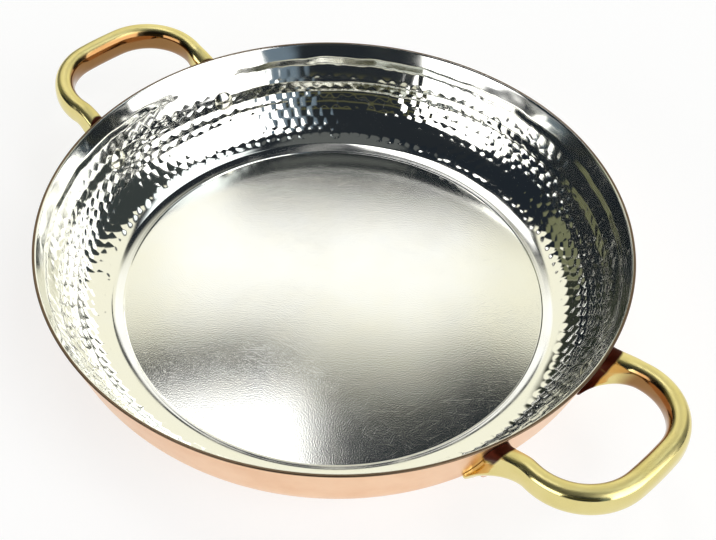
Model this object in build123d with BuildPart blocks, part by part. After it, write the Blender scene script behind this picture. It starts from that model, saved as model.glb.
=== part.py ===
from build123d import *
from math import asin, atan2, cos, degrees, hypot, pi, radians, sin, tan
import os

# Copper frying pan with two cast brass loop handles.
# Millimetres, +Z up. The origin is the middle of the base, on the surface that the pan stands on.
# The handles lie along +X and -X, and each is held by one rivet through each of its two feet.

# Pan
rim_radius = 120.4
pan_height = 42.0
wall_lean = 16.0  # degrees of the wall from upright
cove_radius = 28.0  # outer radius of the bend between base and wall
base_drop = 0.4  # how much lower than the bend the flat base is stamped
base_overrun = 2.4  # how far the stamped base reaches past the start of the bend
base_slope = 45.0  # degrees of the stamped edge from the flat
copper_thickness = 1.0
tin_thickness = 0.2

# Rod of the handle
grip_width = 9.0  # across the rod, in the plane of the loop
grip_height = 12.4
leg_taper = 0.92  # size of the rod at the feet against the grip
loop_reach = 39.5  # from the wall to the middle of the rod at the end of the loop
leg_spacing = 60.5  # between the middles of the legs, at the wall
leg_splay = 8.0  # degrees by which each leg opens outward
leg_straight = 1.3  # of each leg, from the foot to the start of its corner
end_bow = 1.6  # how far the end of the loop bows out between its corners
end_straight = 1.5  # from each corner to the start of the bow
handle_tilt = 3.8  # degrees upward
handle_drop = 5.5  # from the rim down to the middle of the leg, at the wall

# Feet of the handle
foot_reach = 10.5  # from the wall to where the foot runs into the rod
root_height = 12.6  # where the rod itself stands on the wall
root_width = 10.2
root_depth = 8.2  # from the rim down to the middle of the root
leaf_length = 18.6  # round the wall, from tip to tip
leaf_depth = 21.6  # from the rim down to the leaf's two tips
leaf_rise = 9.0  # from the tips up to the leaf's top, which lies under the rod
leaf_drop = 7.0  # from the tips down to the leaf's lowest place
leaf_neck = 4.6  # half the leaf's width at its top
leaf_hollow = 1.2  # how far each upper edge is drawn in
leaf_shift = 1.2  # from the rivet towards the middle of the handle
leaf_thickness = 1.4  # at its edge
leaf_edge_taper = 0.95  # size of the leaf's face against its back
flare_length = 17.0  # round the wall, where the flare starts from the leaf
flare_height = 13.6
flare_depth = 21.4  # from the rim down to the middle of the flare's start
flare_hollow = 4.0  # how sharply the flare widens towards the wall, as a power
flare_end = 0.7  # size of the flare's end against the rod that it runs into
foot_sections = 6
wall_overlap = 3.6  # how far the foot runs into the wall before the wall cuts it
seat_thickness = 2.6  # of the foot under the rivet's tail

# Rivets
rivet_spacing = 62.0
rivet_depth = 19.7  # from the rim down
shank_radius = 2.5
shank_clearance = 0.05
head_radius = 4.5
head_rise = 1.5
tail_radius = 3.6
tail_rise = 1.3
tail_rounding = 0.8
spotface_clearance = 0.6

lean = radians(wall_lean)
slope = radians(base_slope)
splay = radians(leg_splay)
tilt = radians(handle_tilt)
lining_inset = copper_thickness + tin_thickness


# The pan's forms
def wall_radius(height):
    """Outer radius of the straight wall, at a height above the ground."""
    return rim_radius - (pan_height - height) * tan(lean)


bend_start = wall_radius(base_drop) - cove_radius * tan(radians(90 - wall_lean) / 2)
base_radius = bend_start + base_overrun


def pan_form(inset):
    """The pan as a full solid, with its outer surface moved inward by the inset."""
    floor_height = base_drop + inset
    shift = inset / cos(lean)
    stamp_radius = base_radius - inset * tan(slope / 2)
    stamp_height = 2 * base_drop
    with BuildPart() as form:
        with BuildSketch(Plane.XZ):
            with BuildLine():
                Polyline(
                    (0, floor_height),
                    (wall_radius(floor_height) - shift, floor_height),
                    (rim_radius - shift, pan_height),
                    (0, pan_height),
                    close=True,
                )
            bowl = make_face()
            heel = bowl.vertices().group_by(Axis.Y)[0].sort_by(Axis.X)[-1]
            fillet(heel, radius=cove_radius - inset)
            with BuildLine():
                Polyline(
                    (0, inset),
                    (stamp_radius, inset),
                    (stamp_radius + stamp_height / tan(slope), inset + stamp_height),
                    (0, inset + stamp_height),
                    close=True,
                )
            make_face()
        revolve(axis=Axis.Z)
    return form.part


outer_form = pan_form(0)
core_form = pan_form(copper_thickness)
bowl_form = pan_form(lining_inset)


# Places on the wall
def wall_plane(azimuth, depth):
    """Plane on the outer wall, facing outward, at a depth below the rim."""
    height = pan_height - depth
    radius = wall_radius(height)
    turn = radians(azimuth)
    return Plane(
        origin=(radius * cos(turn), radius * sin(turn), height),
        x_dir=(-sin(turn), cos(turn), 0),
        z_dir=(cos(turn) * cos(lean), sin(turn) * cos(lean), -sin(lean)),
    )


def azimuth_at(offset, depth):
    """Azimuth of a place on the wall that lies sideways of the handle's middle."""
    return degrees(asin(offset / wall_radius(pan_height - depth)))


rivet_azimuth = azimuth_at(rivet_spacing / 2, rivet_depth)
leaf_azimuth = azimuth_at(rivet_spacing / 2 - leaf_shift, leaf_depth)
flare_azimuth = azimuth_at(rivet_spacing / 2, flare_depth)
root_azimuth = azimuth_at(rivet_spacing / 2, root_depth)
rivet_seats = {
    "rivet_right_front": wall_plane(-rivet_azimuth, rivet_depth),
    "rivet_right_back": wall_plane(rivet_azimuth, rivet_depth),
    "rivet_left_front": wall_plane(180 + rivet_azimuth, rivet_depth),
    "rivet_left_back": wall_plane(180 - rivet_azimuth, rivet_depth),
}
hole_radius = shank_radius + shank_clearance
hole_length = 2 * (lining_inset + seat_thickness)

# Copper body: one pressed sheet, open at the top, with a hole for each rivet
with BuildPart() as copper_body:
    add(outer_form)
    add(core_form, mode=Mode.SUBTRACT)
    with Locations(*rivet_seats.values()):
        Cylinder(hole_radius, hole_length, mode=Mode.SUBTRACT)

# Tin lining: the skin on the inside of the copper, with the same holes
with BuildPart() as tin_lining:
    add(core_form)
    add(bowl_form, mode=Mode.SUBTRACT)
    with Locations(*rivet_seats.values()):
        Cylinder(hole_radius, hole_length, mode=Mode.SUBTRACT)

# Loop of the handle: the line through the middle of the rod, from one foot to the other
loop_plane = Plane(
    origin=(wall_radius(pan_height - handle_drop), 0, pan_height - handle_drop),
    x_dir=(cos(tilt), 0, sin(tilt)),
    z_dir=(-sin(tilt), 0, cos(tilt)),
)


def leg_offset(reach):
    """Sideways place of a leg's middle, at a reach from the wall."""
    return leg_spacing / 2 + reach * tan(splay)


corner_reach = loop_reach - end_bow
leg_length = (corner_reach - foot_reach) / cos(splay)
half_end = hypot(leg_offset(corner_reach), end_bow)
bow_angle = atan2(end_bow, leg_offset(corner_reach))
corner_run = leg_length - leg_straight  # what each corner takes from the leg and from the end
loop_corner_radius = corner_run / tan((pi / 2 + splay - bow_angle) / 2)
end_bow_radius = (half_end - corner_run - end_straight) / tan(bow_angle)
with BuildLine(loop_plane) as loop:
    FilletPolyline(
        (foot_reach, -leg_offset(foot_reach)),
        (corner_reach, -leg_offset(corner_reach)),
        (loop_reach, 0),
        (corner_reach, leg_offset(corner_reach)),
        (foot_reach, leg_offset(foot_reach)),
        radius=[loop_corner_radius, end_bow_radius, loop_corner_radius],
    )
loop_path = loop.wire()


def rod_plane(share):
    """Plane across the rod, at a share of the loop's length."""
    return Plane(origin=loop_path @ share, x_dir=loop_plane.z_dir, z_dir=loop_path % share)


# Foot: the root of the rod, a thin leaf on the wall under it, and a flare that joins the two
leg_plane = rod_plane(0)
root_plane = wall_plane(-root_azimuth, root_depth)
leaf_plane = wall_plane(-leaf_azimuth, leaf_depth)
flare_start = wall_plane(-flare_azimuth, flare_depth)


def foot_plane(start, spine, share):
    """Plane across a part of the foot, turning from the wall's face to the rod's."""
    facing = start.z_dir * (1 - share) + leg_plane.z_dir * share
    upward = start.y_dir * (1 - share) + loop_plane.z_dir * share
    return Plane(origin=spine @ share, x_dir=upward, z_dir=facing)


def between(first, last, share):
    """Size at a share of the way from the first to the last."""
    return first + (last - first) * share


leg_lead = leg_plane.origin - leg_plane.z_dir * foot_reach / 2
flare_lead = flare_start.origin + flare_start.z_dir * foot_reach / 3
root_spine = Bezier(root_plane.origin, leg_lead, leg_plane.origin)
flare_spine = Bezier(flare_start.origin, flare_lead, leg_lead, leg_plane.origin)
foot_shares = [step / (foot_sections - 1) for step in range(foot_sections)]
leg_height = leg_taper * grip_height
leg_width = leg_taper * grip_width
with BuildPart() as foot:
    with BuildSketch(root_plane.offset(-wall_overlap)):
        Ellipse(root_width / 2, root_height / 2)
    with BuildSketch(root_plane):
        Ellipse(root_width / 2, root_height / 2)
    loft()
    for share in foot_shares:
        with BuildSketch(foot_plane(root_plane, root_spine, share)):
            Ellipse(
                between(root_height, leg_height, share) / 2,
                between(root_width, leg_width, share) / 2,
            )
    loft()
    for depth, size in ((-wall_overlap, 1), (leaf_thickness, leaf_edge_taper)):
        with BuildSketch(leaf_plane.offset(depth)):
            with BuildLine():
                tip = Vector(size * leaf_length / 2, 0)
                neck = Vector(size * leaf_neck, size * leaf_rise)
                edge = SagittaArc(tip, neck, -leaf_hollow)
                Line(neck, (-neck.X, neck.Y))
                mirror(edge, about=Plane.YZ)
                ThreePointArc((-tip.X, 0), (0, -size * leaf_drop), tip)
            make_face()
    loft()
    for share in foot_shares:
        narrowing = 1 - (1 - share) ** flare_hollow
        with BuildSketch(foot_plane(flare_start, flare_spine, share)):
            Ellipse(
                between(flare_height, flare_end * leg_height, narrowing) / 2,
                between(flare_length, flare_end * leg_width, narrowing) / 2,
            )
    loft()

# Handles: both are the same casting, seated on the wall
spotface_radius = tail_radius + spotface_clearance
with BuildPart() as handle_right:
    for share, size in ((0, leg_taper), (0.5, 1), (1, leg_taper)):
        with BuildSketch(rod_plane(share)):
            Ellipse(size * grip_height / 2, size * grip_width / 2)
    sweep(path=loop_path, multisection=True)
    add(foot.part)
    mirror(foot.part, about=Plane.XZ)
    add(outer_form, mode=Mode.SUBTRACT)
    for seat in (rivet_seats["rivet_right_front"], rivet_seats["rivet_right_back"]):
        with Locations(seat):
            Cylinder(hole_radius, hole_length, mode=Mode.SUBTRACT)
        with Locations(seat.offset(seat_thickness)):
            Cylinder(
                spotface_radius,
                foot_reach,
                align=(Align.CENTER, Align.CENTER, Align.MIN),
                mode=Mode.SUBTRACT,
            )

with BuildPart() as handle_left:
    mirror(handle_right.part, about=Plane.YZ)

# Rivets: a domed head inside the pan, a shank through the sheet, and a tail beaten down on the leaf
dome_radius = (head_radius**2 + head_rise**2) / (2 * head_rise)
rivets = {}
for name, seat in rivet_seats.items():
    with BuildPart() as rivet:
        with Locations(seat.offset(dome_radius - head_rise - lining_inset)):
            Sphere(dome_radius)
        add(bowl_form, mode=Mode.INTERSECT)
        with Locations(seat.offset(-lining_inset - head_rise / 2)):
            Cylinder(
                shank_radius,
                seat_thickness + lining_inset + head_rise / 2,
                align=(Align.CENTER, Align.CENTER, Align.MIN),
            )
        with Locations(seat.offset(seat_thickness)):
            tail = Cylinder(
                tail_radius,
                tail_rise,
                align=(Align.CENTER, Align.CENTER, Align.MIN),
            )
        tail_edge = tail.edges().sort_by_distance(seat.offset(foot_reach).origin)[0]
        fillet(tail_edge, radius=tail_rounding)
    rivets[name] = rivet.part

# Written pieces
os.makedirs("parts", exist_ok=True)
pieces = {
    "copper_body": copper_body.part,
    "tin_lining": tin_lining.part,
    "handle_right": handle_right.part,
    "handle_left": handle_left.part,
    **rivets,
}
for name, piece in pieces.items():
    piece.label = name
    export_step(piece, f"parts/{name}.step")
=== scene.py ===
# %% [markdown]
# A two-handled copper pan, hammered and tinned inside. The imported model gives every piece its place, and
# this lesson gives each one its real surface: hammer marks in the tin, scratches on the floor, the polish
# of cast brass. The frame comes first, because nothing here may leave the box that it measures.

# %% Load the frame
import math

import bpy
import numpy as np
from mathutils import Matrix, Vector


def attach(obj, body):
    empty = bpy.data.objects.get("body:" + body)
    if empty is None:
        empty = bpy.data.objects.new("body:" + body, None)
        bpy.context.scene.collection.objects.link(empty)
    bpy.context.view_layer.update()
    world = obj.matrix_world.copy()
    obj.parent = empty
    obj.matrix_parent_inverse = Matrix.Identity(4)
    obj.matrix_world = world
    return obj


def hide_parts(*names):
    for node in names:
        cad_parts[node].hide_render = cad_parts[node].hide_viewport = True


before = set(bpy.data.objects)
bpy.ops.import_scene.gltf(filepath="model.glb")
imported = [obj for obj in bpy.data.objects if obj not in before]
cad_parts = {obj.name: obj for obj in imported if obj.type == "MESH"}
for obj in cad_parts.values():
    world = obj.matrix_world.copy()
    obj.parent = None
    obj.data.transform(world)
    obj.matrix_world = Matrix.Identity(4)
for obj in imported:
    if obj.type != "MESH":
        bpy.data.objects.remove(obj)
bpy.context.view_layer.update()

print("pieces in the frame:", ", ".join(sorted(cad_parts)))

# %% [markdown]
# The sizes are those of the pan itself, in millimetres, because a maker thinks in millimetres. Blender
# works in metres here, so each mesh is scaled once, when it is made.

# %% Sizes of the pan
MM = 0.001
rim_radius = 120.4
pan_height = 42.0
wall_lean = math.radians(16)
sheet = 1.2  # copper and tin together
base_drop = 0.4
bend_radius = 28.0


def wall_radius(height):
    """Outer radius of the straight wall at a height."""
    return rim_radius - (pan_height - height) * math.tan(wall_lean)


bend_centre_height = base_drop + bend_radius
bend_centre_radius = wall_radius(base_drop) - bend_radius * math.tan((math.pi / 2 - wall_lean) / 2)
wall_start = bend_centre_height - bend_radius * math.sin(wall_lean)
print("the bend turns into the wall", round(wall_start, 1), "mm above the ground")

# %% [markdown]
# Most pieces of a pan are turned or drawn out along a line, so one mesh builder serves them all. It takes
# rings of points and joins each ring to the next with quads. A turned piece gets its rings from a profile,
# which is a list of radii and heights. Screw and curve bevel could do this too, but rings of plain points
# can be dented by a hammer afterwards.

# %% Mesh of rings
def ring_mesh(name, rings, close_start=False, close_end=False):
    """A smooth mesh in metres through rings of points in millimetres."""
    rings = np.asarray(rings, float)
    rows, columns = rings.shape[:2]
    index = np.arange(rows * columns).reshape(rows, columns)
    ahead = np.roll(index, -1, axis=1)
    quads = np.stack([index[:-1], ahead[:-1], ahead[1:], index[1:]], axis=-1)
    faces = quads.reshape(-1, 4).tolist()
    points = rings.reshape(-1, 3).tolist()
    if close_start:
        faces += [[len(points), b, a] for a, b in zip(index[0], ahead[0])]
        points.append(rings[0].mean(axis=0).tolist())
    if close_end:
        faces += [[len(points), a, b] for a, b in zip(index[-1], ahead[-1])]
        points.append(rings[-1].mean(axis=0).tolist())
    mesh = bpy.data.meshes.new(name)
    mesh.from_pydata((np.array(points) * MM).tolist(), [], faces)
    mesh.shade_smooth()
    return mesh


def turned(profile, columns):
    """Rings of a profile of radii and heights, turned about the pan's axis."""
    angles = np.linspace(0, 2 * np.pi, columns, endpoint=False)
    radii = profile[:, 0][:, None]
    heights = np.repeat(profile[:, 1][:, None], columns, axis=1)
    return np.stack([radii * np.cos(angles), radii * np.sin(angles), heights], axis=-1)


def place(name, mesh, material, slot):
    """Puts a mesh in the scene as the piece that stands for the node of that name."""
    piece = bpy.data.objects.new(name + "_dressed", mesh)
    bpy.context.scene.collection.objects.link(piece)
    piece.data.materials.append(material)
    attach(piece, "root")
    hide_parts(name)
    print(piece.name, "has", len(mesh.polygons), "faces")


# %% [markdown]
# A finish is a tree of nodes. Written as arithmetic it is easier to read than a chain of named nodes, so
# one small class wraps a socket and turns each operator into a Math node. Every other node comes from one
# method, which sets a node up and then fills its sockets. A few short methods name what every finish needs.

# %% Shader arithmetic
class Wire:
    """An output of a node. Arithmetic on it adds Math nodes."""

    def __init__(self, finish, socket):
        self.finish = finish
        self.socket = socket

    def math(self, operation, *values):
        return self.finish.node("ShaderNodeMath", {"operation": operation}, dict(enumerate(values)))

    def __add__(self, other):
        return self.math("ADD", self, other)

    def __sub__(self, other):
        return self.math("SUBTRACT", self, other)

    def __rsub__(self, other):
        return self.math("SUBTRACT", other, self)

    def __mul__(self, other):
        return self.math("MULTIPLY", self, other)

    __radd__ = __add__

    def step(self, low, high):
        """0 below low and 1 above high, with a soft change between. High may be the lower one."""
        settings = {"interpolation_type": "SMOOTHSTEP"}
        return self.finish.node("ShaderNodeMapRange", settings, {0: self, 1: low, 2: high, 3: 0.0, 4: 1.0})

    def out(self, name):
        """Another output of the same node."""
        return Wire(self.finish, self.socket.node.outputs[name])

    def vector(self, operation, other=None, output="Vector"):
        """A Vector Math node on this vector and perhaps another."""
        sockets = {0: self} if other is None else {0: self, 1: other}
        return self.finish.node("ShaderNodeVectorMath", {"operation": operation}, sockets, output)

    def part(self, axis):
        """The part of a vector along one axis."""
        return self.finish.node("ShaderNodeSeparateXYZ", {}, {0: self}).out(axis)

    def flat(self):
        """A place with its height left out."""
        return self.vector("MULTIPLY", (1, 1, 0))

    def length(self):
        """The length of a vector."""
        return self.vector("LENGTH", output="Value")


class Finish:
    """The node tree of a material or of the world."""

    def __init__(self, owner):
        owner.use_nodes = True
        self.tree = owner.node_tree
        self.tree.nodes.clear()

    def node(self, kind, settings=None, sockets=None, output=0):
        made = self.tree.nodes.new(kind)
        for name, value in (settings or {}).items():
            setattr(made, name, value)
        for key, value in (sockets or {}).items():
            if isinstance(value, Wire):
                self.tree.links.new(value.socket, made.inputs[key])
            else:
                made.inputs[key].default_value = value
        return Wire(self, made.outputs[output]) if made.outputs else None

    def blend(self, first, second, share):
        """A colour between two colours."""
        return self.node("ShaderNodeMix", {"data_type": "RGBA"}, {0: share, 6: first, 7: second}, 2)

    def noise(self, place, scale, detail=2.0, roughness=0.5):
        """Smooth random values from 0 to 1. Scale is in bumps to the metre."""
        return self.node(
            "ShaderNodeTexNoise",
            {"noise_dimensions": "3D"},
            {"Vector": place, "Scale": scale, "Detail": detail, "Roughness": roughness},
        )

    def strokes(self, place, turn, length, width):
        """Noise drawn out into strokes, turned about the pan's axis. Their sizes are in millimetres."""
        size = (length * MM, width * MM, 1.0)
        turned_place = self.node(
            "ShaderNodeMapping",
            {"vector_type": "TEXTURE"},
            {"Vector": place, "Rotation": (0, 0, math.radians(turn)), "Scale": size},
        )
        return self.noise(turned_place, 1.0, 1.0)

    def bump(self, strength, depth, height):
        """The surface's normal, bent by a relief of a depth in millimetres."""
        sockets = {"Strength": strength, "Distance": depth * MM, "Height": height}
        return self.node("ShaderNodeBump", {}, sockets)

    def metal(self, colour, roughness, normal):
        """Makes bare metal the surface of the material."""
        sockets = {"Base Color": colour, "Metallic": 1.0, "Roughness": roughness, "Normal": normal}
        skin = self.node("ShaderNodeBsdfPrincipled", {}, sockets)
        self.node("ShaderNodeOutputMaterial", {}, {"Surface": skin})


# %% [markdown]
# Bright metal shows its surroundings more than itself, so the studio is built with as much care as the
# pan. Each panel is a rectangle of the sky round the pan. A window on each side gives the white streaks, a
# lit wall fills most of the floor, and lit parts of the ceiling make its bright patch. The dark walls
# between them give the metal its depth. A world that is painted by direction does this with no noise from
# small lamps. Past the floor the camera sees plain white, and below the horizon so does the metal, as if
# the paper went on for ever.

# %% Studio
def rgb(red, green, blue, strength=1.0):
    """A colour with its strength worked in."""
    return (red * strength, green * strength, blue * strength, 1.0)


# name, middle azimuth, lowest and highest elevation, width, soft edge, colour
studio_panels = [
    ("dark wall", -143, -90, 80, 56, 6.0, rgb(0.016, 0.022, 0.03)),
    ("olive wall", -45, 15, 20.5, 70, 6.0, rgb(0.1, 0.1, 0.05)),
    ("blue curtain", -19, -90, 60, 16, 7.0, rgb(0.17, 0.23, 0.29)),
    ("grey wall", 58, -90, 52, 46, 4.0, rgb(0.045, 0.055, 0.055)),
    ("top of the lit wall", 132.5, 44, 52.0, 11, 5.0, rgb(0.85, 0.84, 0.72)),
    ("lit wall", 135, -90, 50.1, 108, 2.2, rgb(1.12, 1.10, 0.92)),
    ("glow on the lit wall", 136, 43, 49.3, 21, 4.0, rgb(1.32, 1.32, 1.29)),
    ("shelf on the lit wall", 128, 41.2, 44.0, 27, 1.0, rgb(0.02, 0.025, 0.03)),
    ("dark end of the wall", 170, -90, 30, 34, 5.0, rgb(0.035, 0.04, 0.03)),
    ("olive end of the wall", 198, -90, 32, 24, 6.0, rgb(0.2, 0.21, 0.12)),
    ("right window", 11, -90, 60, 52, 2.0, rgb(1, 1, 1, 3.2)),
    ("left window", -95, 4, 27, 40, 1.5, rgb(1, 1, 1, 3.0)),
    ("ceiling by the right", 75, 54, 74, 58, 4.0, rgb(0.9, 0.97, 1, 1.8)),
    ("beam under the ceiling", 157.5, 50.6, 54.0, 40, 0.8, rgb(0.01, 0.014, 0.018)),
    ("ceiling by the left", 157.5, 59, 73, 40, 1.2, rgb(1, 1, 1, 3.2)),
    ("edge of that ceiling", 157.3, 53.5, 60, 40.4, 0.8, rgb(1, 1, 1, 2.0)),
    ("middle of that ceiling", 148, 53.05, 60, 22.6, 0.8, rgb(1, 1, 1, 2.0)),
    ("corner of that ceiling", 142.5, 52.8, 60, 11.6, 0.8, rgb(1, 1, 1, 2.0)),
    ("ceiling over the pan", 0, 79, 91, 400, 4.0, rgb(0.12, 0.13, 0.13)),
]
dark_room = rgb(0.02, 0.025, 0.031)
paper_starts = 1.5  # degrees above the horizon, where the dark begins to give way to white
paper_is_full = -0.5

world = bpy.data.worlds.new("studio")
bpy.context.scene.world = world
studio = Finish(world)
direction = studio.node("ShaderNodeTexCoord", output="Generated")
east = direction.part("X")
north = direction.part("Y")
elevation = direction.math("ARCSINE", direction.part("Z")) * math.degrees(1)
surroundings = dark_room
for name, azimuth, low, high, width, edge, colour in studio_panels:
    cosine = math.cos(math.radians(azimuth))
    sine = math.sin(math.radians(azimuth))
    ahead = east * cosine + north * sine
    aside = north * cosine - east * sine
    turn = ahead.math("ARCTAN2", aside, ahead) * math.degrees(1)
    across = turn.math("ABSOLUTE", turn).step(width / 2 + edge / 2, width / 2 - edge / 2)
    above = elevation.step(low - edge / 2, low + edge / 2)
    below = elevation.step(high + edge / 2, high - edge / 2)
    surroundings = studio.blend(surroundings, colour, across * above * below)
    surroundings.socket.node.label = name
seen = studio.node("ShaderNodeLightPath", output="Is Camera Ray")
mirrored = seen.math("MAXIMUM", seen.out("Is Glossy Ray"), seen.out("Is Transmission Ray"))
below_horizon = elevation.step(paper_starts, paper_is_full)
lit = studio.node("ShaderNodeBackground", {}, {"Color": surroundings})
white = studio.node("ShaderNodeBackground", {}, {"Color": rgb(1, 1, 1)})
behind = studio.node("ShaderNodeMixShader", {}, {0: seen + mirrored * below_horizon, 1: lit, 2: white})
studio.node("ShaderNodeOutputWorld", {}, {"Surface": behind})
print("the studio has", len(studio_panels), "panels")

# %% [markdown]
# The floor is plain and pale. The camera and the mirrors of the metal see it a little brighter than it is,
# so that it meets the white behind it without a line while the pan still throws its shadow.

# %% Floor
floor_reach = 2000.0
floor_drop = 0.1  # below the pan, so that the two faces don't share a place
paper_shade = 0.3
paper_glow = 0.76

signs = ((-1, -1), (1, -1), (1, 1), (-1, 1))
corners = [(x * floor_reach * MM, y * floor_reach * MM, -floor_drop * MM) for x, y in signs]
floor_mesh = bpy.data.meshes.new("floor")
floor_mesh.from_pydata(corners, [], [(0, 1, 2, 3)])
floor = bpy.data.objects.new("floor", floor_mesh)
bpy.context.scene.collection.objects.link(floor)
paper = bpy.data.materials.new("white paper")
paper_finish = Finish(paper)
camera_ray = paper_finish.node("ShaderNodeLightPath", output="Is Camera Ray")
glossy_ray = camera_ray.out("Is Glossy Ray")
mirror_ray = camera_ray.math("MAXIMUM", glossy_ray, camera_ray.out("Is Transmission Ray"))
looked_at = camera_ray.math("MAXIMUM", camera_ray, mirror_ray)
paper_grey = rgb(paper_shade, paper_shade, paper_shade)
plain = paper_finish.node("ShaderNodeBsdfDiffuse", {}, {"Color": paper_grey})
glow_strength = looked_at * paper_glow
glow = paper_finish.node("ShaderNodeEmission", {}, {"Color": rgb(1, 1, 1), "Strength": glow_strength})
both = paper_finish.node("ShaderNodeAddShader", {}, {0: plain, 1: glow})
paper_finish.node("ShaderNodeOutputMaterial", {}, {"Surface": both})
floor_mesh.materials.append(paper)

# %% [markdown]
# The camera stands at the photographer's place, looking down at the pan at 45 degrees. It was turned a
# little off the middle of the rim and rolled by a degree or two, and those small turns matter: they put
# the rim and both handles where they belong in the picture.

# %% Camera
camera_azimuth = -45.0
camera_elevation = 45.11
camera_distance = 497.4
camera_turns = (("Y", -1.071), ("X", -2.117), ("Z", 1.80))
picture_width = 716
lens_in_pixels = 1231.6

facing = Matrix.Rotation(math.radians(camera_azimuth + 90), 4, "Z")
facing = facing @ Matrix.Rotation(math.radians(90 - camera_elevation), 4, "X")
stand = facing @ Vector((0, 0, camera_distance)) + Vector((0, 0, pan_height))
for axis, angle in camera_turns:
    facing = facing @ Matrix.Rotation(math.radians(angle), 4, axis)
camera = bpy.data.objects.new("camera", bpy.data.cameras.new("camera"))
camera.data.sensor_width = 36.0
camera.data.lens = lens_in_pixels / picture_width * camera.data.sensor_width
camera.matrix_world = Matrix.Translation(stand * MM) @ facing
bpy.context.scene.collection.objects.link(camera)
bpy.context.scene.camera = camera
bpy.context.scene.view_settings.view_transform = "Standard"
print("lens", round(camera.data.lens, 1), "mm")

# %% [markdown]
# Tin is wiped on hot and then polished, so the wall is almost a mirror. The floor is rubbed with fine
# abrasive, which leaves it satin with hair scratches in every direction. One finish serves both: a mask
# by radius changes it at the edge of the floor. The scratches are noise that is drawn out very long in
# one direction, laid over itself at several angles, and a fine grain lies between them.

# %% Finish of the tin
floor_edge = 88.6  # radius at which the flat floor ends
# turn in degrees, length and width of the strokes
fine_strokes = ((84, 9, 0.3), (97, 7, 0.28), (70, 8, 0.3), (116, 6, 0.28), (35, 7, 0.3), (3, 6, 0.28))
deep_strokes = ((78, 16, 0.32), (112, 13, 0.3), (47, 14, 0.32), (12, 12, 0.3))
grain_scale = 1700.0
# depth of the floor's relief in millimetres, and how strongly each kind of mark works in it
floor_relief = 0.009
hair_height = 0.14
grain_height = 1.6
scratch_depth = 0.3
pale_tin = rgb(0.80, 0.805, 0.79)
warm_tin = rgb(0.82, 0.81, 0.74)

tin = bpy.data.materials.new("tin")
tinning = Finish(tin)
spot = tinning.node("ShaderNodeTexCoord", output="Object")
flat_spot = spot.flat()
on_floor = flat_spot.length().step((floor_edge + 0.2) * MM, (floor_edge - 0.6) * MM)

hairs = 0.0
for turn, length, width in fine_strokes:
    hairs = tinning.strokes(flat_spot, turn, length, width) + hairs
deep_hairs = 0.0
for turn, length, width in deep_strokes:
    deep_hairs = tinning.strokes(flat_spot, turn, length, width).step(0.66, 0.78) + deep_hairs
grain = tinning.noise(flat_spot, grain_scale, 1.0)
patches = tinning.noise(flat_spot, 18.0, 2.0).step(0.42, 0.62)
rubbed = tinning.noise(flat_spot, 26.0, 3.0)
clouds = tinning.noise(spot, 60.0, 3.0)

floor_roughness = 0.075 + rubbed.step(0.3, 0.7) * 0.03 + deep_hairs * 0.02
wall_roughness = 0.06 + clouds.step(0.35, 0.75) * 0.06
roughness = floor_roughness * on_floor + wall_roughness * (1 - on_floor)
tin_colour = tinning.blend(pale_tin, warm_tin, clouds)
relief = (hairs * hair_height + grain * grain_height - deep_hairs * patches * scratch_depth) * on_floor
tinning.metal(tin_colour, roughness, tinning.bump(0.8, floor_relief, relief))

# %% [markdown]
# The lining is one turned skin: a thin lip at the rim, then down the wall, round the bend, over the small
# step that the press leaves, and across the floor.

# %% Profile of the lining
inner_bend = bend_radius - sheet
rim_inside = rim_radius - sheet / math.cos(wall_lean)
lip = 0.2  # the tin's own rounding at the rim
lip_drop = 0.1  # of the tin's top below the rim
floor_height = sheet
step_rise = 0.42
step_run = 0.5
step_lead = 0.2  # from the end of the bend to the top of the step
step_softening = 0.05  # between the five heights that are averaged into one
row_gap = 0.5  # between the rings of the wall
fine_gap = 0.1  # between the rings of the step


def spaced(start, end, gap):
    """Values from start to end, about a gap apart, without the end."""
    count = max(2, round(abs(end - start) / gap))
    return np.linspace(start, end, count, endpoint=False)


lip_part = [
    (rim_inside + lip * (1 - math.sin(a)), pan_height - lip_drop - lip * (1 - math.cos(a)))
    for a in np.radians((10, 35, 60, 80))
]
wall_top = pan_height - lip_drop - lip
wall_part = [
    (wall_radius(z) - sheet / math.cos(wall_lean), z)
    for z in spaced(wall_top, wall_start + sheet * math.sin(wall_lean), row_gap * math.cos(wall_lean))
]
step_top = floor_edge + step_run
bend_end = math.asin((step_top + step_lead - bend_centre_radius) / inner_bend)
bend_part = [
    (bend_centre_radius + inner_bend * math.sin(a), bend_centre_height - inner_bend * math.cos(a))
    for a in spaced(math.pi / 2 - wall_lean, bend_end, row_gap / inner_bend)
]
step_radii = spaced(step_top + step_lead, floor_edge - 0.4, fine_gap)
known_radii = [floor_edge - 1, floor_edge, step_top, step_top + 0.4]
known_heights = [floor_height, floor_height, floor_height + step_rise, floor_height + step_rise + 0.02]
radii_beside = np.arange(-2, 3) * step_softening + step_radii[:, None]
step_heights = np.interp(radii_beside, known_radii, known_heights).mean(axis=1)
step_part = list(zip(step_radii, step_heights))
lining_profile = np.array(lip_part + wall_part + bend_part + step_part + [(floor_edge - 2, floor_height)])
print("the lining's profile has", len(lining_profile), "points")

# %% [markdown]
# A planishing hammer leaves a shallow round dent with each blow. The blows go round the wall in rows, each
# row set over the gaps of the last, and no two are quite alike. They start lightly under the rim, and are
# lighter on one side. The dents are real geometry, because in a mirror a dent is seen by what it reflects.
# A dent is a shallow cup, and where cups overlap the deeper one wins, which leaves the fine ridges between
# them.

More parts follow.
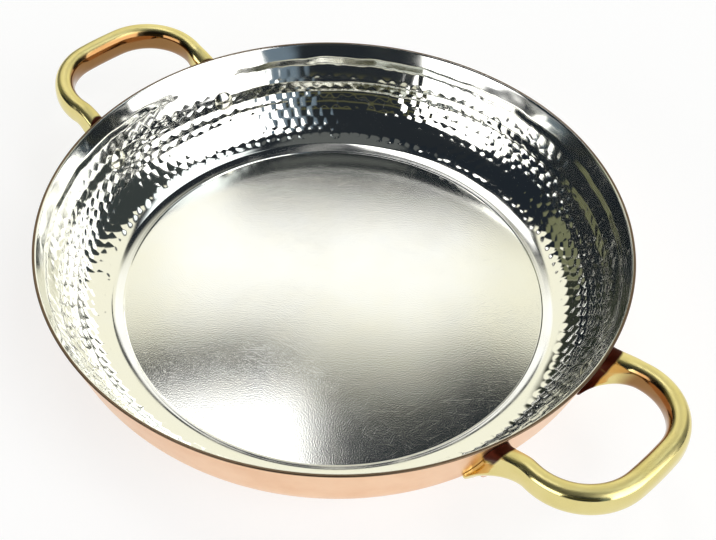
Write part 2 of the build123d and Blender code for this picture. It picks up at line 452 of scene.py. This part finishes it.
# %% Hammer marks
lining_columns = 1080
blows_in_a_row = 119
blow_row_gap = 5.0  # between rows
blow_radius = 3.7
blow_depth = 0.3
blow_jitter = 0.09  # along the row, as a share of the gap between blows
blow_stray = 0.35  # up and down
blow_sizes = (0.9, 1.12)
blow_weights = (0.7, 1.3)
first_rows = ([12, 22], [0.3, 1])  # distance from the rim, and share of the full depth there
plain_band = 10.5  # below the rim, left smooth
last_blow_radius = 93.5  # the bend is smooth inside this
light_azimuth = 164.0  # the upper blows are lighter round here
light_spread = 18.0
light_share = 0.65  # of their depth that the lightest blows lose
light_rows = ([18, 26], [1, 0])  # distance from the rim, and how much of that loss is left there
random = np.random.default_rng(7)

steps = np.hypot(*np.diff(lining_profile, axis=0).T)
travel = np.concatenate([[0], np.cumsum(steps)])
last_row = travel[np.argmax(lining_profile[:, 0] < last_blow_radius)]
angles = np.linspace(0, 2 * np.pi, lining_columns, endpoint=False)
depth = np.zeros((len(lining_profile), lining_columns))
rows = np.arange(plain_band + blow_radius * 0.8, last_row - blow_radius * 0.6, blow_row_gap)
for number, middle in enumerate(rows):
    radius = np.interp(middle, travel, lining_profile[:, 0])
    jitter = random.normal(0, blow_jitter, blows_in_a_row)
    blow_places = np.arange(blows_in_a_row) + number % 2 * 0.5 + jitter
    blow_angles = blow_places * 2 * np.pi / blows_in_a_row
    blow_travels = middle + random.normal(0, blow_stray, blows_in_a_row)
    blow_radii = blow_radius * random.uniform(*blow_sizes, blows_in_a_row)
    blow_depths = blow_depth * random.uniform(*blow_weights, blows_in_a_row)
    blow_depths = blow_depths * np.interp(middle, *first_rows)
    near = np.abs(travel - middle) < blow_radius * 1.5
    nearest = np.floor(angles / (2 * np.pi) * blows_in_a_row).astype(int)
    for neighbour in (-2, -1, 0, 1, 2):
        which = (nearest + neighbour) % blows_in_a_row
        turn = (angles - blow_angles[which] + np.pi) % (2 * np.pi) - np.pi
        away = (turn * radius) ** 2 + (travel[near][:, None] - blow_travels[which]) ** 2
        cup = blow_depths[which] * (1 - away / blow_radii[which] ** 2)
        depth[near] = np.maximum(depth[near], cup)
lighter_there = (angles - math.radians(light_azimuth)) / math.radians(light_spread)
lighter = light_share * np.exp(-(lighter_there**2)) * np.interp(travel, *light_rows)[:, None]
depth *= 1 - lighter
print(len(rows), "rows of blows,", blows_in_a_row, "in a row")

# %% [markdown]
# The wall isn't a true cone either. Raising it course by course leaves rings: a wide band that leans out
# more than the wall does, then a narrow band that stands up. In the wide bands the tin mirrors the room
# over the far rim, and in the narrow ones it mirrors the pan itself, which is what draws the long streaks
# round the wall. Slow waves along the rings keep the streaks from being ruled lines. On one side the rings
# fade into one wide band.

# %% Mesh of the lining
# distance down from the rim, and degrees by which the wall leans out there beyond its own lean
courses = [(0.0, 7.2), (7.0, 7.2)]
courses += [(7.6, -6.5), (10.2, -6.5)]
courses += [(10.8, 8.5), (18.0, 8.5)]
courses += [(18.5, -7.0), (21.0, -7.0)]
courses += [(22.6, 6.0), (27.0, 4.0), (36.0, 0.0)]
courses_settle = ([0, 27, 50], [1, 1, 0])  # distance from the rim, and how much of the rings is left there
ring_waves = ((3, 0.6), (7, 0.45), (16, 0.35), (31, 0.25), (59, 0.12))  # waves round the pan, and size
ring_wave_length = 9
plain_side_azimuth = 170.0
plain_side_spread = 24.0
plain_side_lean = 8.5
plain_side_end = 21.5  # down from the rim
plain_side_share = 0.96
wall_waves = ((5, 60), (9, 35), (14, 26), (23, 19), (37, 15), (58, 12))  # round the pan, and length down it
wall_wave_size = 0.04
wall_wave_edge = 4  # the waves grow from nothing over this, at both ends of the wall
wall_wave_fade = 14  # with this many waves round the pan they are half as high as slow ones

course_places, course_leans = np.array(courses).T
shift = np.zeros_like(depth)
for turns, size in ring_waves:
    down_the_wall = np.cos(travel[:, None] / ring_wave_length + turns)
    shift += size * np.sin(angles * turns + random.uniform(0, 2 * np.pi)) * down_the_wall
lean_there = np.interp(travel[:, None] + shift, course_places, course_leans)
round_there = (angles - math.radians(plain_side_azimuth)) / math.radians(plain_side_spread)
plainer = plain_side_share * np.exp(-(round_there**2)) * (travel[:, None] < plain_side_end)
lean_there += (plain_side_lean - lean_there) * plainer
spacing = np.gradient(travel)[:, None]
course_push = np.cumsum(np.tan(np.radians(lean_there)) * spacing, axis=0)
course_push -= course_push[:1]
course_push = course_push * np.interp(travel, *courses_settle)[:, None]
waves = np.zeros_like(depth)
for turns, length in wall_waves:
    phase = random.uniform(0, 2 * np.pi, 2)
    across = np.sin(angles * turns + phase[0]) * np.cos(travel[:, None] * 2 * np.pi / length + phase[1])
    waves += wall_wave_size * across * wall_wave_fade / (turns + wall_wave_fade)
wave_places = [0, wall_wave_edge, last_row - wall_wave_edge, last_row]
waves *= np.interp(travel, wave_places, [0, 1, 1, 0])[:, None]
along = np.gradient(lining_profile, travel, axis=0)
inside_normal = np.stack([along[:, 1], -along[:, 0]], axis=-1)
inside_normal /= np.linalg.norm(inside_normal, axis=1)[:, None]
push = course_push - depth - waves
radii = lining_profile[:, 0][:, None] + inside_normal[:, 0][:, None] * push
heights = lining_profile[:, 1][:, None] + inside_normal[:, 1][:, None] * push
lining_rings = np.stack([radii * np.cos(angles), radii * np.sin(angles), heights], axis=-1)
place("tin_lining", ring_mesh("tin_lining", lining_rings, close_end=True), tin, "tin")
print("the courses move the wall by up to", round(float(course_push.max()), 2), "mm")

# %% [markdown]
# Outside, the copper is polished to a satin, with very fine lines that run round the pan from the wheel.
# The lines come from noise that is drawn out round the axis: the noise is read by radius and height
# instead of by place. The cut edge of the rim is left dark.

# %% Finish of the copper
line_scale = 3000
fresh_copper = rgb(0.95, 0.63, 0.39)
dull_copper = rgb(0.87, 0.53, 0.30)
edge_copper = rgb(0.16, 0.11, 0.07)

copper = bpy.data.materials.new("copper")
coppering = Finish(copper)
place_on = coppering.node("ShaderNodeTexCoord", output="Object")
reach = place_on.flat().length()
up = place_on.part("Z")
round_the_pan = coppering.node("ShaderNodeCombineXYZ", {}, {"X": reach * line_scale, "Y": up * line_scale})
lines = coppering.noise(round_the_pan, 1.0, 2.0)
tarnish = coppering.noise(place_on, 45.0, 4.0, 0.6)
copper_roughness = 0.24 + lines * 0.08 + tarnish * 0.08
copper_colour = coppering.blend(fresh_copper, dull_copper, tarnish.step(0.35, 0.75))
on_edge = up.step((pan_height - 0.7) * MM, (pan_height - 0.35) * MM)
copper_colour = coppering.blend(copper_colour, edge_copper, on_edge)
coppering.metal(copper_colour, copper_roughness, coppering.bump(0.3, 0.01, lines))

# %% [markdown]
# The copper is turned from one profile: flat base, the stamped edge, the bend, the wall, and a rounded
# rim that tucks in behind the tin.

# %% Mesh of the copper body
base_overrun = 2.4  # how far the stamped base reaches past the start of the bend
stamp_run = 0.7  # from the edge of the base to the bend
edge_round = 0.42  # the filed edge of the rim
tuck = 0.8  # how far into the sheet the hidden edge goes, as a share of it
tuck_heights = (38.0, 30.0)
body_columns = 256

base_radius = bend_centre_radius + base_overrun
outer_start = math.asin((base_radius + stamp_run - bend_centre_radius) / bend_radius)
base_part = [(1.0, 0.0), (base_radius - 2, 0.0), (base_radius - 0.25, 0.0), (base_radius, 0.08)]
base_part += [(base_radius + 0.35, 0.38)]
outer_bend = [
    (bend_centre_radius + bend_radius * math.sin(a), bend_centre_height - bend_radius * math.cos(a))
    for a in spaced(outer_start, math.pi / 2 - wall_lean, 1.2 / bend_radius)
]
outer_wall = [(wall_radius(z), z) for z in spaced(wall_start, pan_height - edge_round, 1.5)]
edge_part = [
    (rim_radius - edge_round * (1 - math.cos(a)), pan_height - edge_round * (1 - math.sin(a)))
    for a in np.radians(np.arange(0, 91, 15))
]
edge_part += [(rim_inside + 0.35, pan_height), (rim_inside + 0.2, pan_height - 0.05)]
edge_part += [(rim_inside + 0.16, pan_height - 0.2)]
behind_tin = [(wall_radius(z) - sheet * tuck, z) for z in tuck_heights]
body_profile = np.array(base_part + outer_bend + outer_wall + edge_part + behind_tin)
body_mesh = ring_mesh("copper_body", turned(body_profile, body_columns), close_start=True)
place("copper_body", body_mesh, copper, "copper")

# %% [markdown]
# The handles are sand-cast brass, filed and polished bright. Polish never leaves a perfect mirror, so the
# roughness drifts a little, more so on top where hands and cloths rub it, and faint waves from the
# polishing wheel ripple the reflections. Where a foot meets the wall, under the rim and on the sides that
# the two feet turn to each other, a painted dark red shade and reflection lies in the colour, and it is
# rougher.
# The inside of the loop gets a painted brown reflection of the copper wall.

# %% Finish of the brass
loop_middle = 136.0  # from the pan's axis
# where the painted dark red shade in the corner of each foot begins and is full
corner_shade_start = 4.6  # out from the wall
corner_shade_full = 3.6
corner_shade_wander = 3.0  # how far the smears move its edge
fresh_brass = rgb(0.80, 0.71, 0.34)
dull_brass = rgb(0.71, 0.60, 0.22)
# painted brown reflection of the copper wall, for the inside of the loop
painted_copper_reflection = rgb(0.24, 0.10, 0.035)
# painted dark red shade and reflection for the corner where a foot meets the wall
painted_corner_shade = rgb(0.06, 0.014, 0.008)

brass = bpy.data.materials.new("brass")
casting = Finish(brass)
where = casting.node("ShaderNodeTexCoord", output="Object")
facing_there = where.out("Normal")
smears = casting.noise(where, 90.0, 3.0)
pits = casting.noise(where, 700.0, 3.0)

height_there = where.part("Z")
off_wall = where.flat().length() - height_there * math.tan(wall_lean)
off_wall = off_wall + (smears - 0.5) * (corner_shade_wander * MM)
wall_line = rim_radius - pan_height * math.tan(wall_lean)
aside_there = where.part("Y")
aside_there = aside_there.math("ABSOLUTE", aside_there)
under_rim = height_there.step(30 * MM, 34 * MM)
between_feet = aside_there.step(27.5 * MM, 26.0 * MM)
shaded_corners = under_rim.math("MAXIMUM", under_rim, between_feet)
# the mask of the painted corner shade and reflection, which is also rougher
painted_shade_share = off_wall.step((wall_line + corner_shade_start) * MM, (wall_line + corner_shade_full) * MM) * shaded_corners
worn = facing_there.part("Z").step(0.55, 0.9)
brass_roughness = 0.09 + smears.step(0.35, 0.75) * 0.1 + worn * 0.24 + painted_shade_share * 0.3

# one handle is mirrored onto the other, and heights are left out
mirror = casting.node("ShaderNodeCombineXYZ", {}, {"X": where.vector("SIGN").part("X"), "Y": 1.0})
from_middle = where.vector("MULTIPLY", mirror).vector("SUBTRACT", (loop_middle * MM, 0, 0))
from_middle = from_middle.vector("NORMALIZE")
inward = facing_there.vector("MULTIPLY", mirror).vector("DOT_PRODUCT", from_middle, "Value")
# where the painted brown reflection goes: the inner side of the loop
inner_side = inward.step(-0.45, -0.8) * off_wall.step((wall_line + 6) * MM, (wall_line + 14) * MM)

brass_colour = casting.blend(fresh_brass, dull_brass, smears)
brass_colour = casting.blend(brass_colour, painted_copper_reflection, inner_side * 0.9)
brass_colour = casting.blend(brass_colour, painted_corner_shade, painted_shade_share)
casting.metal(brass_colour, brass_roughness, casting.bump(0.25, 0.05, smears * 1.2 + pits * 0.15))

# %% [markdown]
# A handle is a loop of oval rod. Its middle line is two legs, two round corners and a slightly bowed end,
# so the corners of a plain line are rounded one by one.

# %% Line of the handle
handle_tilt = math.radians(3.8)
handle_drop = 5.5
loop_reach = 39.5
end_bow = 1.6
foot_reach = 10.5
leg_spacing = 60.5
leg_splay = math.radians(8)
corner_radius = 24.0
bow_radius = 172.0
ring_gap = 1.5  # between the rings of the rod
outward = np.array([math.cos(handle_tilt), 0, math.sin(handle_tilt)])
upward = np.array([-math.sin(handle_tilt), 0, math.cos(handle_tilt)])
sideways = np.array([0, 1.0, 0])
loop_start = np.array([wall_radius(pan_height - handle_drop), 0, pan_height - handle_drop])


def rounded(before, corner, after, radius, gap):
    """Points on the arc that rounds a corner."""
    back = (before - corner) / np.linalg.norm(before - corner)
    on = (after - corner) / np.linalg.norm(after - corner)
    half = math.acos(back @ on) / 2
    middle = (back + on) / np.linalg.norm(back + on)
    centre = corner + middle * radius / math.sin(half)
    side = back - middle * (back @ middle)
    side /= np.linalg.norm(side)
    sweep = math.pi / 2 - half
    count = max(2, round(2 * sweep * radius / gap))
    arc = np.linspace(sweep, -sweep, count)
    return [centre - middle * radius * math.cos(a) + side * radius * math.sin(a) for a in arc]


def leg_side(reach):
    """How far a leg is from the handle's middle, at a reach from the wall."""
    return leg_spacing / 2 + reach * math.tan(leg_splay)


corner_reach = loop_reach - end_bow
path = [np.array([foot_reach, -leg_side(foot_reach)]), np.array([corner_reach, -leg_side(corner_reach)])]
path += [np.array([loop_reach, 0.0])]
path += [point * (1, -1) for point in path[1::-1]]
line = [path[0]] + rounded(*path[0:3], corner_radius, ring_gap)
line += rounded(*path[1:4], bow_radius, ring_gap) + rounded(*path[2:5], corner_radius, ring_gap) + [path[4]]
line = np.array(line)
loop_line = loop_start + line[:, :1] * outward + line[:, 1:] * sideways
print("the loop's line is", round(np.hypot(*np.diff(line, axis=0).T).sum()), "mm long")

# %% [markdown]
# The rod is oval and swells a little towards the grip. Each ring of the rod stands square to the line.

# %% Rings of the rod
ring_points = 48
grip_width = 8.94
grip_height = 12.36
leg_size = 0.92
squareness = 2.4  # 2 would be a true oval
turns = np.linspace(0, 2 * np.pi, ring_points, endpoint=False)


def oval(middle, facing_way, up_way, width, height):
    """A slightly squared oval that starts at the top and goes first to the outer side of the leg."""
    facing_way = facing_way / np.linalg.norm(facing_way)
    aside = np.cross(facing_way, up_way)
    aside /= np.linalg.norm(aside)
    up_way = np.cross(aside, facing_way)
    up_share = np.sign(np.cos(turns)) * np.abs(np.cos(turns)) ** (2 / squareness)
    side_share = np.sign(np.sin(turns)) * np.abs(np.sin(turns)) ** (2 / squareness)
    return middle + np.outer(up_share * height / 2, up_way) + np.outer(side_share * width / 2, aside)


travel_on_loop = np.concatenate([[0], np.cumsum(np.linalg.norm(np.diff(loop_line, axis=0), axis=1))])
share_on_loop = travel_on_loop / travel_on_loop[-1]
tangents = np.gradient(loop_line, travel_on_loop, axis=0)
tangents[0] = outward * math.cos(leg_splay) - sideways * math.sin(leg_splay)
tangents[-1] = tangents[0] * (-1, 1, -1)
rod_rings = []
for middle, tangent, share in zip(loop_line, tangents, share_on_loop):
    size = 1 - (1 - leg_size) * (2 * share - 1) ** 2
    rod_rings.append(oval(middle, tangent, upward, grip_width * size, grip_height * size))
print("the rod has", len(rod_rings), "rings")

# %% [markdown]
# Each foot spreads out on the wall like the foot of a leaf: narrow under the rim, drawn in at the neck,
# wide at its two tips, and round below. Its outline is drawn flat, as sideways and downward distances, and
# then bent onto the leaning round wall.

# %% Outline of a foot
rivet_side = 31.0
root_depth = 8.2
root_height = 12.6
root_width = 10.2
leaf_side = 29.8
leaf_depth = 21.6
leaf_half = 9.3
leaf_neck = 4.6
leaf_rise = 9.0
leaf_drop = 7.0
edge_hollow = 1.2


def on_wall(side, depth, out):
    """A place on the wall by sideways distance and depth below the rim, lifted off by a distance."""
    height = pan_height - depth
    radius = wall_radius(height)
    side = np.clip(side, -radius, radius)
    forward = np.sqrt(radius**2 - side**2)
    lift = out * math.cos(wall_lean)
    height = height - out * math.sin(wall_lean)
    return np.stack([forward + forward / radius * lift, side + side / radius * lift, height], -1)


def half_outline(sign):
    """Half of a foot's outline, from its top down to its lowest place. Sign 1 is the outer half."""
    quarter = np.linspace(0, math.pi / 2, 7)
    side = sign * root_width / 2 * np.sin(quarter) + rivet_side
    low = root_depth - root_height / 2 * np.cos(quarter)
    points = list(zip(side, low))
    neck = np.array([leaf_side + sign * leaf_neck, leaf_depth - leaf_rise])
    start = np.array(points[-1])
    points += [start + (neck - start) * share for share in (0.34, 0.67)]
    tip = np.array([leaf_side + sign * leaf_half, leaf_depth])
    drawn_in = np.array([-sign * leaf_rise, leaf_half - leaf_neck])
    drawn_in /= np.linalg.norm(drawn_in)
    for share in np.linspace(0, 1, 7)[:-1]:
        points.append(neck + (tip - neck) * share + drawn_in * edge_hollow * 4 * share * (1 - share))
    for angle in np.linspace(0, math.pi / 2, 10):
        leaf_edge = leaf_side + sign * leaf_half * math.cos(angle)
        points.append((leaf_edge, leaf_depth + leaf_drop * math.sin(angle)))
    return np.array(points)


outer_half = half_outline(1)
inner_half = half_outline(-1)
outline = np.concatenate([outer_half, inner_half[-2:0:-1]])
print("the foot's outline has", len(outline), "points, and a ring of the rod has", ring_points)

# %% [markdown]
# Between the wall and the rod the casting is hollowed like the bell of a trumpet. Each ring of the foot is
# a blend of two rings: the outline at some distance off the wall, and the rod's own oval at that place.
# The list gives, ring by ring, the distance off the wall and how far the ring has become the rod.

# %% Rings of a foot
bell = [
    (0.0, 0.0),
    (0.25, 0.0),
    (0.9, 0.005),
    (1.25, 0.02),
    (1.45, 0.07),
    (1.65, 0.15),
    (1.95, 0.26),
    (2.35, 0.38),
    (2.9, 0.5),
    (3.6, 0.62),
    (4.5, 0.74),
    (5.6, 0.85),
    (7.0, 0.93),
    (8.6, 0.98),
]
leg_way = tangents[0]
leg_middle = loop_line[0]
leg_lead = leg_middle - leg_way * foot_reach / 2
root_middle = on_wall(-rivet_side, root_depth, 0.0)
root_out = on_wall(-rivet_side, root_depth, 1.0) - root_middle
root_up = on_wall(-rivet_side, root_depth - 1, 0.0) - root_middle
foot_rings = []
for out, share in bell:
    on_the_wall = on_wall(-outline[:, 0], outline[:, 1], out)
    near = out / foot_reach
    middle = root_middle * (1 - near) ** 2 + leg_lead * 2 * near * (1 - near) + leg_middle * near**2
    width = root_width + (leg_size * grip_width - root_width) * near
    height = root_height + (leg_size * grip_height - root_height) * near
    way = root_out * (1 - near) + leg_way * near
    own = oval(middle, way, root_up * (1 - near) + upward * near, width, height)
    foot_rings.append(on_the_wall * (1 - share) + own * share)
other_foot = [ring * (1, -1, 1) for ring in foot_rings[::-1]]
handle_rings = np.array(foot_rings + rod_rings + other_foot)

# %% [markdown]
# The rivet needs a flat seat. In the foundry's pattern it is a shallow round pocket under the rod, so every
# point of the bell that stands over the rivet is pressed down to the seat.

# %% Mesh of the handles
seat_thickness = 2.6
rivet_depth = 19.7
pocket_radius = 4.2
pocket_edge = 0.5


def seat_frame(side):
    """The rivet's own frame on the wall: its middle, and its axis outward."""
    middle = on_wall(side, rivet_depth, 0.0)
    return middle, on_wall(side, rivet_depth, 1.0) - middle


def press_pocket(points, side):
    """Presses what stands over a rivet down to the flat seat."""
    middle, axis = seat_frame(side)
    off = points - middle
    height = off @ axis
    away = np.linalg.norm(off - height[:, None] * axis, axis=1)
    share = np.clip((pocket_radius + pocket_edge - away) / pocket_edge, 0, 1)
    above = np.clip(height - seat_thickness, 0, None)
    return points - (above * share)[:, None] * axis


def finer(mesh, levels):
    """The mesh after smooth subdivision."""
    helper = bpy.data.objects.new("helper", mesh)
    bpy.context.scene.collection.objects.link(helper)
    helper.modifiers.new("smooth", "SUBSURF").levels = levels
    helper.modifiers["smooth"].render_levels = levels
    graph = bpy.context.evaluated_depsgraph_get()
    fine_mesh = bpy.data.meshes.new_from_object(helper.evaluated_get(graph))
    bpy.data.objects.remove(helper)
    return fine_mesh


handle_mesh = finer(ring_mesh("handle", handle_rings, close_start=True, close_end=True), 2)
places = np.empty(len(handle_mesh.vertices) * 3)
handle_mesh.vertices.foreach_get("co", places)
places = places.reshape(-1, 3) / MM
for side in (-rivet_side, rivet_side):
    places = press_pocket(places, side)
handle_mesh.vertices.foreach_set("co", (places * MM).ravel())
handle_mesh.update()
handle_mesh.shade_smooth()
place("handle_right", handle_mesh, brass, "brass")
turned_mesh = handle_mesh.copy()
turned_mesh.materials.clear()
turned_mesh.transform(Matrix.Rotation(math.pi, 4, "Z"))
place("handle_left", turned_mesh, brass, "brass")

# %% [markdown]
# The rivets are copper. Inside the pan their low heads are tinned with the rest, and outside their tails
# are beaten down on the feet. One finish does both: it turns from tin to copper where the rivet leaves the
# wall.

# %% Finish of the rivets
tin_ends = 114.0  # from the pan's axis
copper_starts = 115.0
clean_tin = rgb(0.62, 0.62, 0.57)
worn_tin = rgb(0.5, 0.48, 0.4)
clean_copper = rgb(0.86, 0.55, 0.38)
worn_copper = rgb(0.70, 0.40, 0.25)

rivet_metal = bpy.data.materials.new("tinned rivet")
riveting = Finish(rivet_metal)
rivet_spot = riveting.node("ShaderNodeTexCoord", output="Object")
outside = rivet_spot.flat().length().step(tin_ends * MM, copper_starts * MM)
rivet_clouds = riveting.noise(rivet_spot, 500.0, 3.0)
rivet_tin = riveting.blend(clean_tin, worn_tin, rivet_clouds)
rivet_copper = riveting.blend(clean_copper, worn_copper, rivet_clouds)
rivet_colour = riveting.blend(rivet_tin, rivet_copper, outside)
rivet_roughness = 0.1 + rivet_clouds * 0.1 + outside * 0.12
riveting.metal(rivet_colour, rivet_roughness, riveting.bump(0.4, 0.06, rivet_clouds))

# %% [markdown]
# A rivet is turned about its own axis: a low dome inside, the shank through the wall, and a flattened tail
# with a round edge outside. The courses bring the lining in a little where the heads sit, so each dome is
# lifted by as much as the wall there.

# %% Meshes of the rivets
head_radius = 4.5
head_rise = 1.5
shank_radius = 2.5
tail_radius = 3.6
tail_rise = 1.3
tail_round = 0.8
rivet_columns = 48
at_rivets = np.argmin(np.abs(lining_profile[:, 1] - (pan_height - rivet_depth)))
dome_radius = (head_radius**2 + head_rise**2) / (2 * head_rise)
dome_angles = np.linspace(0.04, math.asin(head_radius / dome_radius), 14)


def rivet_profile(head_lift):
    """The rivet's radii and heights, with its head lifted by a distance."""
    dome_top = -sheet - head_rise - head_lift
    profile = [(dome_radius * math.sin(a), dome_radius * (1 - math.cos(a)) + dome_top) for a in dome_angles]
    profile += [(head_radius, -sheet + 0.15), (shank_radius, -sheet + 0.2), (shank_radius, seat_thickness)]
    profile += [(tail_radius - 0.1, seat_thickness), (tail_radius, seat_thickness + 0.1)]
    for a in np.linspace(0.2, math.pi / 2, 7):
        radius = tail_radius - tail_round * (1 - math.cos(a))
        profile.append((radius, seat_thickness + tail_rise - tail_round * (1 - math.sin(a))))
    profile += [(0.3, seat_thickness + tail_rise)]
    return np.array(profile)


for name, side, half_turn in (
    ("rivet_right_front", -rivet_side, 0),
    ("rivet_right_back", rivet_side, 0),
    ("rivet_left_front", rivet_side, math.pi),
    ("rivet_left_back", -rivet_side, math.pi),
):
    middle, axis = seat_frame(side)
    azimuth = (math.atan2(middle[1], middle[0]) + half_turn) % (2 * math.pi)
    column = round(azimuth / (2 * math.pi) * lining_columns) % lining_columns
    head_lift = course_push[at_rivets, column]
    rivet_rings = turned(rivet_profile(head_lift), rivet_columns)
    one_rivet = ring_mesh(name, rivet_rings, close_start=True, close_end=True)
    print(name, "has its head lifted by", round(float(head_lift), 2), "mm")
    stand_up = Vector(axis).to_track_quat("Z", "Y").to_matrix().to_4x4()
    turn_round = Matrix.Rotation(half_turn, 4, "Z")
    one_rivet.transform(turn_round @ Matrix.Translation(Vector(middle) * MM) @ stand_up)
    place(name, one_rivet, rivet_metal, "tinned_rivet")
